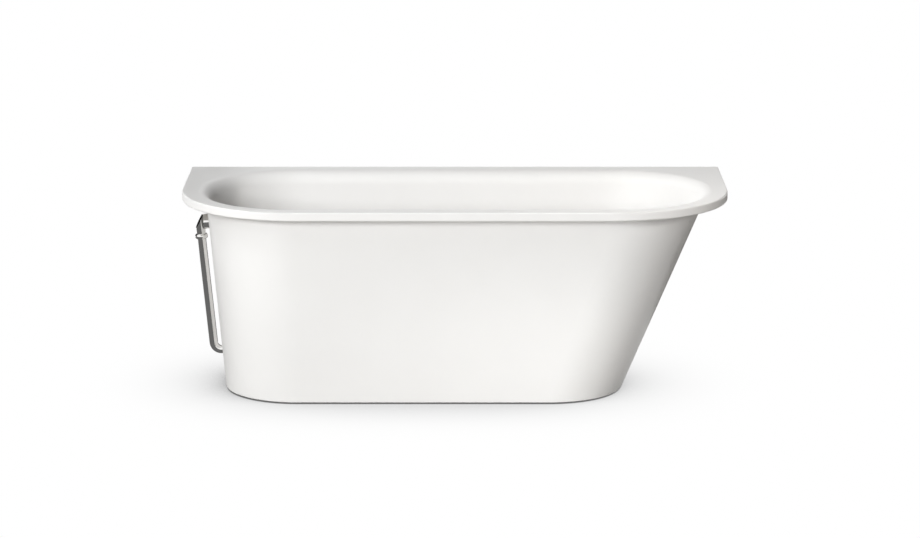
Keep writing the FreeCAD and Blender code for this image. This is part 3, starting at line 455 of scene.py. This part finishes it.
hexagon_foot = stud_low.z + STUD_HEXAGON_FOOT
hexagon = turned_hexagon(STUD_HEXAGON_WIDTH, hexagon_foot, hexagon_foot + STUD_HEXAGON_HEIGHT)
apply_modifier(stud, "BOOLEAN", object=hexagon, operation="UNION", solver="EXACT")
bpy.data.objects.remove(hexagon)
locknut_low, locknut_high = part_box(f"foot_locknut_{first_foot}")
locknut = turned_hexagon(LOCKNUT_WIDTH, locknut_low.z, locknut_high.z)
bpy.ops.mesh.primitive_cylinder_add(
    vertices=DISC_SIDES, radius=BORE_RADIUS, depth=stud_size.z, location=stud_middle
)
bore = bpy.context.object
apply_modifier(locknut, "BOOLEAN", object=bore, operation="DIFFERENCE", solver="EXACT")
bpy.data.objects.remove(bore)
print("stud", len(stud.data.polygons), "faces, locknut", len(locknut.data.polygons), "faces")

# %% Set them on the four feet
SMOOTH_BELOW = math.radians(30.0)


def select_only(piece):
    bpy.ops.object.select_all(action="DESELECT")
    piece.select_set(True)
    bpy.context.view_layer.objects.active = piece


def settle(piece):
    """Puts a piece's place into its mesh, as a CAD node has it."""
    select_only(piece)
    bpy.ops.object.transform_apply(location=True, rotation=True, scale=True)


def set_on_feet(pattern, name, node, body):
    """Gives every foot a copy of the pattern in place of a CAD node, and the first foot, last of
    all, the pattern itself."""
    settle(pattern)
    bpy.ops.object.shade_smooth_by_angle(angle=SMOOTH_BELOW)
    pattern.data.materials.clear()
    pattern.data.materials.append(zinc.material)
    for foot in reversed(foot_names):
        piece = pattern
        if foot != first_foot:
            low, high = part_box(f"foot_stud_{foot}")
            select_only(pattern)
            bpy.ops.object.duplicate()
            piece = bpy.context.object
            bpy.ops.transform.translate(value=(low + high) / 2 - stud_middle)
            settle(piece)
        piece.name = f"{name}_{foot}"
        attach(piece, body.format(foot))
        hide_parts(f"{node}_{foot}")
    print(name, "on", len(foot_names), "feet")


set_on_feet(stud, "threaded_stud", "foot_stud", "foot_{}")
set_on_feet(locknut, "turned_locknut", "foot_locknut", "bath")

# %% [markdown]
# ## The studio
# The bath stands on a white floor in a white room. To the camera and in reflections, the floor and
# the surround glow white at a strength of one. For bounced light, the floor is dull and the
# surround is nearly dark, so the white is only seen and doesn't flood the bath with light. The
# floor keeps a soft shadow: an ambient occlusion node measures how much of the sky over each spot
# the bath takes away. Leaning its normal to the right makes the shadow heavier on the left, as
# under a lamp high on the right. From below the floor is clear, so that the feet and the trap can
# be looked at.

# %% White floor and surround
FLOOR_SIZE = 60.0
FLOOR_BOUNCE = (0.370, 0.355, 0.335)
SHADOW_REACH = 0.45
SHADOW_LEAN = math.radians(12.5)
SHADOW_DEPTH = 1.62
SHADOW_FALLOFF = 2.5
SHADOW_SAMPLES = 16
DARKEST_FLOOR = 0.13
AMBIENT = 0.03

bpy.ops.mesh.primitive_plane_add(size=FLOOR_SIZE)
floor = bpy.context.object
floor.name = "floor"
paper = Finish("white_paper_floor")
lean = paper.node(
    "ShaderNodeCombineXYZ", inputs={"X": math.sin(SHADOW_LEAN), "Z": math.cos(SHADOW_LEAN)}
)
open_sky = paper.node(
    "ShaderNodeAmbientOcclusion", {"samples": SHADOW_SAMPLES},
    {"Distance": SHADOW_REACH, "Normal": lean}, output="AO",
)
shadow = SHADOW_DEPTH * (1 - open_sky) ** SHADOW_FALLOFF
glow = paper.node("ShaderNodeEmission", inputs={"Strength": (1 - shadow).at_least(DARKEST_FLOOR)})
dull = paper.node("ShaderNodeBsdfDiffuse", inputs={"Color": shade(*FLOOR_BOUNCE)})
shown = paper.node("ShaderNodeMixShader", inputs={0: paper.seen_directly(), 1: dull, 2: glow})
paper.cover_one_side(shown)
floor.data.materials.append(paper.material)

world = bpy.data.worlds.new("white_surround")
world.use_nodes = True
bpy.context.scene.world = world
surround = NodeSheet(world.node_tree)
background = world.node_tree.nodes["Background"]
seen = surround.seen_directly()
surround.feed(background.inputs["Color"], shade(1.0, 1.0, 1.0))
surround.feed(background.inputs["Strength"], AMBIENT + (1.0 - AMBIENT) * seen)
print("floor of", FLOOR_SIZE, "m and a white surround")

# %% [markdown]
# ## Lamps
# Large soft lamps stand round the bath, the strong ones at the front and behind to the left, so that
# the right end falls into shade. Their places are given as a photographer would: an angle round from
# the front, an angle up, a distance and a strength. Small ones stand nearer: two warm ones over the
# rim's right end and beside it, and two low in front, for the foot of the skirt. One more lies under
# the bath, for the feet and the trap. No lamp shows to the camera or in the nickel.

# %% Make a lamp
LAMP_COLOUR = (0.985, 0.995, 1.0)
WARM_COLOUR = (1.0, 0.965, 0.920)


def area_lamp(name, place, aim, size, watts, colour):
    """A lamp with a flat face of that width and height, turned to the point that it aims at."""
    place = Vector(place)
    turn = (place - Vector(aim)).to_track_quat("Z", "Y").to_euler()
    bpy.ops.object.light_add(type="AREA", location=place, rotation=turn)
    lamp = bpy.context.object
    lamp.name = name
    lamp.data.shape = "RECTANGLE"
    lamp.data.size, lamp.data.size_y = size
    lamp.data.color = colour
    lamp.data.energy = watts
    lamp.visible_camera = False
    lamp.visible_glossy = False
    print("lamp", name, "at", [round(part, 2) for part in place])


# %% Soft lamps round the bath
LAMP_AIM = Vector((0.0, 0.0, 0.3))
LAMP_SPREAD = 0.48


def towards(azimuth, elevation):
    """The direction at an angle round from the front to the right, and an angle up, in degrees."""
    around, up = math.radians(azimuth), math.radians(elevation)
    return Vector((math.sin(around) * math.cos(up), -math.cos(around) * math.cos(up), math.sin(up)))


for name, azimuth, elevation, distance, watts in (
    ("front", -23, 18, 5.0, 177.0),
    ("left_high", -65, 32, 5.0, 42.0),
    ("left_top", -65, 50, 5.0, 50.0),
    ("left_low", -110, 6, 5.0, 24.0),
    ("back_left", -150, 18, 5.0, 120.0),
    ("back_high", -150, 45, 5.0, 12.0),
    ("right_high", 30, 30, 2.5, 2.5),
):
    place = LAMP_AIM + distance * towards(azimuth, elevation)
    width = LAMP_SPREAD * distance
    area_lamp(name, place, LAMP_AIM, (width, width / 2), watts, LAMP_COLOUR)

# %% Small lamps near the bath
SMALL_LAMP_SIZE = (0.3, 0.1)

for name, place, aim, watts, colour in (
    ("over_right", (0.9, -0.6, 1.6), (0.6, -0.1, 0.6), 4.6, WARM_COLOUR),
    ("rim_right", (1.5, -0.6, 0.9), (0.8, -0.05, 0.58), 1.6, WARM_COLOUR),
    ("foot_right", (0.60, -0.75, 0.06), (0.42, -0.26, 0.06), 0.60, LAMP_COLOUR),
    ("foot_middle", (0.1, -0.9, 0.06), (0.1, -0.28, 0.06), 0.36, LAMP_COLOUR),
):
    area_lamp(name, place, aim, SMALL_LAMP_SIZE, watts, colour)

# %% A lamp under the bath
UNDER_LAMP_PLACE = Vector((SKIRT_MIDDLE, 0.0, 0.004))
UNDER_LAMP_SIZE = (1.0, 0.3)
UNDER_LAMP_WATTS = 0.95
UP = Vector((0.0, 0.0, 1.0))

area_lamp(
    "under_bath", UNDER_LAMP_PLACE, UNDER_LAMP_PLACE + UP, UNDER_LAMP_SIZE, UNDER_LAMP_WATTS,
    LAMP_COLOUR,
)

# %% [markdown]
# ## Dark cards
# Polished metal shows the room. In an all-white room it would vanish against the bath, so a
# photographer sets dark cards where only reflections show them. One lies on the floor left of the
# overflow, for the dark half of the tube. One stands behind it, for the facet of the elbow, and one
# to its left, for the collar. A narrow one lies on the skirt behind the tube, for the thin dark
# line along the tube's edge. One lies behind the right end, so that the satin skirt doesn't turn
# pale along its edge. The last one shows in no reflection: it hangs in the bowl and takes away the
# light that the far end would send back to the left end. Every card is clear from behind.

# %% Make a card
def dark_card(name, tone, size, place, turn, shown_to="glossy"):
    """A flat one-sided card that one kind of ray sees. It lies face up until it is turned."""
    bpy.ops.mesh.primitive_plane_add(size=1.0, location=place, rotation=turn)
    card = bpy.context.object
    card.name = name
    card.scale = (*size, 1.0)
    bpy.ops.object.transform_apply(location=True, rotation=True, scale=True)
    card_glow = Finish(name)
    # The card's face is an emission at its set grey tone, lit by no lamp: the dark it shows in the
    # nickel and the satin is painted reflection, and the bowl card's dark is painted shade.
    glow = card_glow.node("ShaderNodeEmission", inputs={"Color": shade(tone, tone, tone)})
    card_glow.cover_one_side(glow)
    card.data.materials.append(card_glow.material)
    for rays in ("camera", "diffuse", "glossy", "transmission", "shadow"):
        setattr(card, f"visible_{rays}", rays == shown_to)
    print(name, "round", tuple(round(part, 2) for part in place))


# %% Cards for the overflow
CARD_CLEARANCE = 0.001
FLOOR_CARD_TONE = 0.14
FLOOR_CARD_SIDE = 6.0
FLOOR_CARD_TURN = math.radians(25.0)
FLOOR_CARD_EDGE = Vector((-0.70, 0.0, CARD_CLEARANCE))
STANDING_TONE = 0.01
STANDING_HEIGHT = 2.4
STANDING = math.radians(90.0)
FACET_CARD_WIDTH = 6.0
FACET_CARD_PLACE = Vector((-3.9, 3.4, STANDING_HEIGHT / 2))
LEFT_CARD_WIDTH = 3.7
LEFT_CARD_PLACE = Vector((-4.5, 1.55, STANDING_HEIGHT / 2))
GAP_CARD_TONE = 0.05
GAP_CARD_SIZE = (0.040, 0.330)
GAP_CARD_PLACE = Vector((-0.7255, 0.025, 0.284))
SKIRT_LEAN = math.radians(5.4)

to_middle = Vector((-FLOOR_CARD_SIDE / 2, -FLOOR_CARD_SIDE / 4, 0.0))
to_middle.rotate(Matrix.Rotation(FLOOR_CARD_TURN, 3, "Z"))
dark_card(
    "floor_card", FLOOR_CARD_TONE, (FLOOR_CARD_SIDE, FLOOR_CARD_SIDE), FLOOR_CARD_EDGE + to_middle,
    (0.0, 0.0, FLOOR_CARD_TURN),
)
dark_card(
    "facet_card", STANDING_TONE, (FACET_CARD_WIDTH, STANDING_HEIGHT), FACET_CARD_PLACE,
    (STANDING, 0.0, 0.0),
)
dark_card(
    "left_card", STANDING_TONE, (LEFT_CARD_WIDTH, STANDING_HEIGHT), LEFT_CARD_PLACE,
    (STANDING, 0.0, STANDING),
)
dark_card(
    "gap_card", GAP_CARD_TONE, GAP_CARD_SIZE, GAP_CARD_PLACE,
    (STANDING + SKIRT_LEAN, 0.0, -STANDING),
)

# %% Cards for the ends of the bath
RIGHT_CARD_TONE = 0.10
RIGHT_CARD_SIZE = (3.0, 4.0)
RIGHT_CARD_PLACE = Vector((2.0, 2.4, CARD_CLEARANCE))
BOWL_CARD_TONE = 0.01
BOWL_CARD_SIZE = (0.28, 0.28)
BOWL_CARD_PLACE = Vector((-0.640, 0.03, 0.52))

dark_card("right_card", RIGHT_CARD_TONE, RIGHT_CARD_SIZE, RIGHT_CARD_PLACE, (0.0, 0.0, 0.0))
dark_card(
    "bowl_card", BOWL_CARD_TONE, BOWL_CARD_SIZE, BOWL_CARD_PLACE,
    (STANDING, 0.0, -STANDING), shown_to="diffuse",
)
